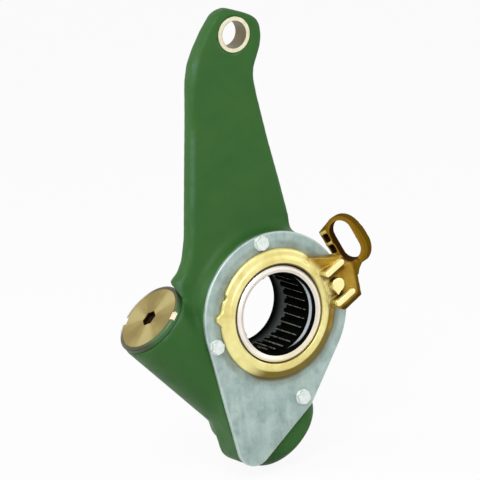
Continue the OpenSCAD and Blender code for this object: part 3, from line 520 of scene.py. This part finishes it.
def screw_finish():
    """Bright zinc on the screw heads."""
    f = Finish("screw_zinc", metallic=0.4)
    tone = f.ramp(f.noise(2.0), (0.3, srgb(214, 222, 218)), (0.7, srgb(236, 244, 240)))
    fine = f.noise(0.5, detail=4.0)
    return f.set(Base_Color=tone, Roughness=f.range(fine, 0.3, 0.7, 0.32, 0.46),
                 Normal=f.bump(fine, 0.015, f.rounded(0.3)))


# Rounded copies of cast and stamped pieces

def coordinates(mesh):
    co = np.empty(len(mesh.vertices) * 3, np.float32)
    mesh.vertices.foreach_get("co", co)
    return co.reshape(-1, 3).astype(float)


def point_normals(mesh):
    normals = np.empty(len(mesh.vertices) * 3, np.float32)
    mesh.vertices.foreach_get("normal", normals)
    return normals.reshape(-1, 3)


def move_points(mesh, co):
    mesh.vertices.foreach_set("co", co.astype(np.float32).ravel())
    mesh.update()


def write_layer(mesh, name, values):
    """Keeps a value for each point, which a finish reads by its name."""
    layer = mesh.attributes.new(name, "FLOAT", "POINT")
    layer.data.foreach_set("value", values.astype(np.float32))


def edge_pairs(mesh):
    pairs = np.empty(len(mesh.edges) * 2, np.int32)
    mesh.edges.foreach_get("vertices", pairs)
    return pairs.reshape(-1, 2)


def neighbour_mean(co, pairs):
    total = np.zeros_like(co)
    count = np.zeros(len(co))
    for a, b in ((0, 1), (1, 0)):
        np.add.at(total, pairs[:, a], co[pairs[:, b]])
        np.add.at(count, pairs[:, a], 1)
    return total / np.maximum(count, 1)[:, None]


def voxel_copy(node, voxel):
    """The CAD node's solid as an even mesh, in a new object of its own."""
    source = bpy.data.objects.new("voxel_source", nodes[node].data.copy())
    bpy.context.scene.collection.objects.link(source)
    remesh = source.modifiers.new("even", "REMESH")
    remesh.mode = "VOXEL"
    remesh.voxel_size = voxel * MM
    remesh.use_smooth_shade = True
    depsgraph = bpy.context.evaluated_depsgraph_get()
    mesh = bpy.data.meshes.new_from_object(source.evaluated_get(depsgraph))
    bpy.data.objects.remove(source)
    piece = bpy.data.objects.new(node + "_skin", mesh)
    bpy.context.scene.collection.objects.link(piece)
    return piece


def hemisphere(rays):
    """Directions spread evenly over the half of all directions that lies around UP."""
    golden = math.pi * (3 - math.sqrt(5))
    spread = []
    for i in range(rays):
        height = (i + 0.5) / rays
        flat = math.sqrt(1 - height * height)
        spread.append(Vector((flat * math.cos(i * golden), flat * math.sin(i * golden), height)))
    return spread


def open_air(piece, rays=7):
    """True for each point of a piece from which some of the open air is seen past all the CAD solids."""
    corners = []
    faces = []
    for node in nodes.values():
        first = len(corners)
        corners += [corner.co.copy() for corner in node.data.vertices]
        faces += [[first + i for i in face.vertices] for face in node.data.polygons]
    solids = BVHTree.FromPolygons(corners, faces)
    around = hemisphere(rays)
    seen = np.zeros(len(piece.data.vertices), bool)
    for i, point in enumerate(piece.data.vertices):
        turn = UP.rotation_difference(point.normal)
        start = point.co + point.normal * MM
        seen[i] = any(solids.ray_cast(start, turn @ ray)[0] is None for ray in around)
    return seen


def fill_corners(piece, rounds, most):
    """Fills the inner corners on the outside of a casting with fillets, by up to most millimetres."""
    mesh = piece.data
    start = coordinates(mesh)
    co = start.copy()
    pairs = edge_pairs(mesh)
    normals = point_normals(mesh)
    seen = open_air(piece)
    for _ in range(rounds):
        step = neighbour_mean(co, pairs) - co
        outward = (step * normals).sum(1) > 0
        co += 0.5 * (seen & outward)[:, None] * step
    moved = co - start
    length = np.maximum(np.linalg.norm(moved, axis=1), 1e-9)
    move_points(mesh, start + moved * np.minimum(1, most * MM / length)[:, None])


def soften(piece, rounds, keep=None):
    """Rounds the edges by averaging; keep is each point's share of stillness, 1 for a machined place.
    It also writes how far each point stood out of a smoother form or lay in it, for paler edges and for painted
    shade in the hollows."""
    mesh = piece.data
    start = coordinates(mesh)
    co = start.copy()
    pairs = edge_pairs(mesh)
    free = np.full(len(co), 0.5) if keep is None else 0.5 * (1 - keep)
    for _ in range(rounds):
        co += free[:, None] * (neighbour_mean(co, pairs) - co)
    move_points(mesh, co)
    wide = start.copy()
    for _ in range(rounds + 10):
        wide += 0.5 * (neighbour_mean(wide, pairs) - wide)
    proud = ((start - wide) * point_normals(mesh)).sum(1) / MM
    write_layer(mesh, "edge", np.clip(proud, 0, 1))
    write_layer(mesh, "hollow", np.clip(-proud, 0, 1))


def bury(piece, reach, rays=14):
    """Writes what share of the view from each point the piece itself shuts off, within reach millimetres."""
    mesh = piece.data
    tree = BVHTree.FromPolygons([v.co for v in mesh.vertices], [p.vertices for p in mesh.polygons])
    around = hemisphere(rays)
    shut = np.zeros(len(mesh.vertices), np.float32)
    for i, point in enumerate(mesh.vertices):
        turn = UP.rotation_difference(point.normal)
        start = point.co + point.normal * 0.3 * MM
        shut[i] = sum(tree.ray_cast(start, turn @ ray, reach * MM)[0] is not None for ray in around) / rays
    write_layer(mesh, "deep", shut)


def ease(share):
    share = np.clip(share, 0, 1)
    return share * share * (3 - 2 * share)


def swell_eye(piece, swell):
    """Widens the right limb of the slotted eye by up to swell millimetres, as the photo shows it."""
    co = coordinates(piece.data)
    rel = (co - np.array(eye_at)) / MM
    across = rel @ np.array(eye_across)
    along = rel @ np.array(eye_along)
    through = np.abs(rel @ np.array(eye_axis))
    over = np.sign(along) * np.maximum(np.abs(along) - (SLOT_L - SLOT_W) / 2, 0)
    far = np.maximum(np.hypot(across, over), 0.1)
    # it grows across the wall, and fades past the eye, to the left limb, off the eye's plane and to its top
    share = ease((far - SLOT_W / 2) / EYE_WALL)
    share *= ease((14 - far) / 4)
    share *= ease((across + 2) / 6)
    share *= ease((6 - through) / 2)
    share *= ease((9 - along) / 10)
    way = (across[:, None] * np.array(eye_across) + over[:, None] * np.array(eye_along)) / far[:, None]
    move_points(piece.data, co + (swell * MM * share)[:, None] * way)


def near_axis(co, at, axis, low, high, soft=0.8 * MM):
    """1 for points whose distance from an axis lies between low and high, easing to 0 outside."""
    rel = co - np.array(at)
    along = rel @ np.array(axis)
    out = np.sqrt(np.maximum((rel ** 2).sum(1) - along ** 2, 0))
    away = np.maximum(np.maximum(low - out, out - high), 0)
    return np.clip(1 - away / soft, 0, 1)


def dress(piece, finish, body, replaced):
    """Gives a piece its finish and its body, and hides the CAD node that it stands for."""
    piece.data.materials.clear()
    piece.data.materials.append(finish)
    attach(piece, body)
    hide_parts(replaced)


# Widths in millimetres, and rounds of averaging
HOUSING_VOXEL = 0.9
HOUSING_ROUNDS = 10
FILLET_ROUNDS = 70
FILLET_MOST = 3.0
BUSH_SEAT = 3
PLATE_VOXEL = 0.45
PLATE_ROUNDS = 3
CONTROL_VOXEL = 0.4
CONTROL_ROUNDS = 4
EYE_SWELL = 1.5
POCKET_REACH = 9

housing_skin = voxel_copy("housing", HOUSING_VOXEL)
fill_corners(housing_skin, FILLET_ROUNDS, FILLET_MOST)
points = coordinates(housing_skin.data)
machined = near_axis(points, clevis_at, BORE_AXIS, clevis_r, clevis_r + BUSH_SEAT * MM)
soften(housing_skin, HOUSING_ROUNDS, machined)
dress(housing_skin, green_paint(), "housing", "housing")

plate_skin = voxel_copy("cover_plate", PLATE_VOXEL)
soften(plate_skin, PLATE_ROUNDS)
dress(plate_skin, galvanised(), "housing", "cover_plate")

control_skin = voxel_copy("control_arm", CONTROL_VOXEL)
swell_eye(control_skin, EYE_SWELL)
soften(control_skin, CONTROL_ROUNDS)
bury(control_skin, POCKET_REACH)
dress(control_skin, yellow_zinc(), "control_arm", "control_arm")

# Finishes of the CAD nodes that stay as they are

black_rubber = rubber("black_rubber")
ground = steel("ground_steel", srgb(150, 152, 154), srgb(196, 198, 200), 0.25)
milled = steel("milled_steel", srgb(112, 114, 116), srgb(160, 162, 164), 0.38)
sprung = steel("spring_steel", srgb(58, 60, 64), srgb(96, 98, 102), 0.32)
bronze = steel("sintered_bronze", srgb(150, 112, 58), srgb(190, 150, 86), 0.42)
brass = steel("pressed_brass", srgb(176, 138, 60), srgb(214, 178, 98), 0.3)
gasket_sheet = rubber("gasket_sheet")
finishes = {
    "clevis_bush": bush_finish(), "cover_screws": screw_finish(), "end_cover": end_cover_finish(),
    "worm_wheel": hub_finish(), "cover_gasket": gasket_sheet,
    "end_cover_oring": black_rubber, "hex_seal": black_rubber, "rear_oring": black_rubber,
    "collar_oring": black_rubber, "hub_oring": black_rubber,
    "worm_shaft": ground, "upper_race": ground, "lower_race": ground,
    "thrust_balls": ground, "disc_pins": ground,
    "clutch_wheel": milled, "pinion": milled, "rack": milled, "control_disc": milled,
    "coil_spring": sprung, "clutch_spring": sprung, "lower_bush": bronze, "ball_cage": brass,
}
for node, finish in finishes.items():
    mesh = nodes[node].data
    mesh.materials.clear()
    mesh.materials.append(finish)

# Floor, light and camera

low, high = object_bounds()
middle = (low + high) / 2
FLOOR_SIZE = 30.0
FLOOR_GLOW = 0.92
# Strength of the white surroundings: as light on the object, and as they are seen
SKY_LIGHT = 0.42
SKY_SEEN = 1.0


def seen_white(tree):
    """1 for rays from the camera, a mirror or a window, 0 for the rays that only light the object."""
    path = tree.nodes.new("ShaderNodeLightPath")
    total = path.outputs["Is Camera Ray"]
    for name in ("Is Glossy Ray", "Is Transmission Ray"):
        most = tree.nodes.new("ShaderNodeMath")
        most.operation = "MAXIMUM"
        tree.links.new(total, most.inputs[0])
        tree.links.new(path.outputs[name], most.inputs[1])
        total = most.outputs[0]
    return total


def floor_finish():
    """Pale floor that the camera and the metal see as nearly white, and that still takes the shadow."""
    f = Finish("pale_floor", roughness=0.9)
    tone = f.ramp(f.noise(400, detail=1.0), (0.2, srgb(240, 240, 240)), (0.8, srgb(246, 246, 246)))
    f.set(Base_Color=tone)
    glow = f.tree.nodes.new("ShaderNodeEmission")
    blend = f.tree.nodes.new("ShaderNodeMixShader")
    f.put(f.times(seen_white(f.tree), FLOOR_GLOW), blend.inputs["Fac"])
    f.put(f.shader.outputs[0], blend.inputs[1])
    f.put(glow.outputs[0], blend.inputs[2])
    f.put(blend.outputs[0], f.tree.nodes["Material Output"].inputs["Surface"])
    return f.mat


floor_mesh = bpy.data.meshes.new("floor")
half = FLOOR_SIZE / 2
floor_corners = [(-half, -half, low.z), (half, -half, low.z), (half, half, low.z), (-half, half, low.z)]
floor_mesh.from_pydata(floor_corners, [], [(0, 1, 2, 3)])
floor = bpy.data.objects.new("floor", floor_mesh)
bpy.context.scene.collection.objects.link(floor)
floor.data.materials.append(floor_finish())

world = bpy.data.worlds.new("studio")
bpy.context.scene.world = world
world.use_nodes = True
sky = world.node_tree
background = sky.nodes["Background"]
background.inputs["Color"].default_value = (1, 1, 1, 1)
level = sky.nodes.new("ShaderNodeMapRange")
sky.links.new(seen_white(sky), level.inputs["Value"])
level.inputs["To Min"].default_value = SKY_LIGHT
level.inputs["To Max"].default_value = SKY_SEEN
sky.links.new(level.outputs["Result"], background.inputs["Strength"])


def softbox(name, direction, distance, size, watts):
    """A round soft lamp that looks at the object's middle from a direction."""
    lamp = bpy.data.lights.new(name, "AREA")
    lamp.shape = "DISK"
    lamp.size = size
    lamp.energy = watts
    obj = bpy.data.objects.new(name, lamp)
    obj.location = middle + Vector(direction).normalized() * distance
    obj.rotation_euler = (middle - obj.location).to_track_quat("-Z", "Y").to_euler()
    bpy.context.scene.collection.objects.link(obj)


softbox("key", direction=(-0.75, -1.0, 1.1), distance=1.2, size=0.7, watts=8)
softbox("fill", direction=(1.0, -0.9, 0.4), distance=1.4, size=0.9, watts=2)
softbox("rim", direction=(-1.0, 0.35, 0.6), distance=1.2, size=0.5, watts=4)

# The photograph's view: camera axes in the part's frame, and the width that its frame covers
CAMERA_RIGHT = Vector((0.8496, -0.5147, -0.1112))
CAMERA_UP = Vector((0.2198, 0.155, 0.9629))
CAMERA_LOOKS_AT = Vector((-9.09, -4.07, 38.78)) * MM
FRAME_WIDTH = 244.9 * MM
CAMERA_DISTANCE = 3.0
SENSOR = 36.0

right = CAMERA_RIGHT.normalized()
back = right.cross(CAMERA_UP).normalized()
up = back.cross(right)
camera_data = bpy.data.cameras.new("camera")
camera_data.sensor_width = SENSOR
camera_data.lens = SENSOR * CAMERA_DISTANCE / FRAME_WIDTH
camera_data.clip_start = 0.1
camera_data.clip_end = 60.0
camera = bpy.data.objects.new("camera", camera_data)
camera_turn = Matrix((right, up, back)).transposed().to_4x4()
camera.matrix_world = Matrix.Translation(CAMERA_LOOKS_AT + back * CAMERA_DISTANCE) @ camera_turn
bpy.context.scene.collection.objects.link(camera)
bpy.context.scene.camera = camera
bpy.context.scene.view_settings.view_transform = "Standard"
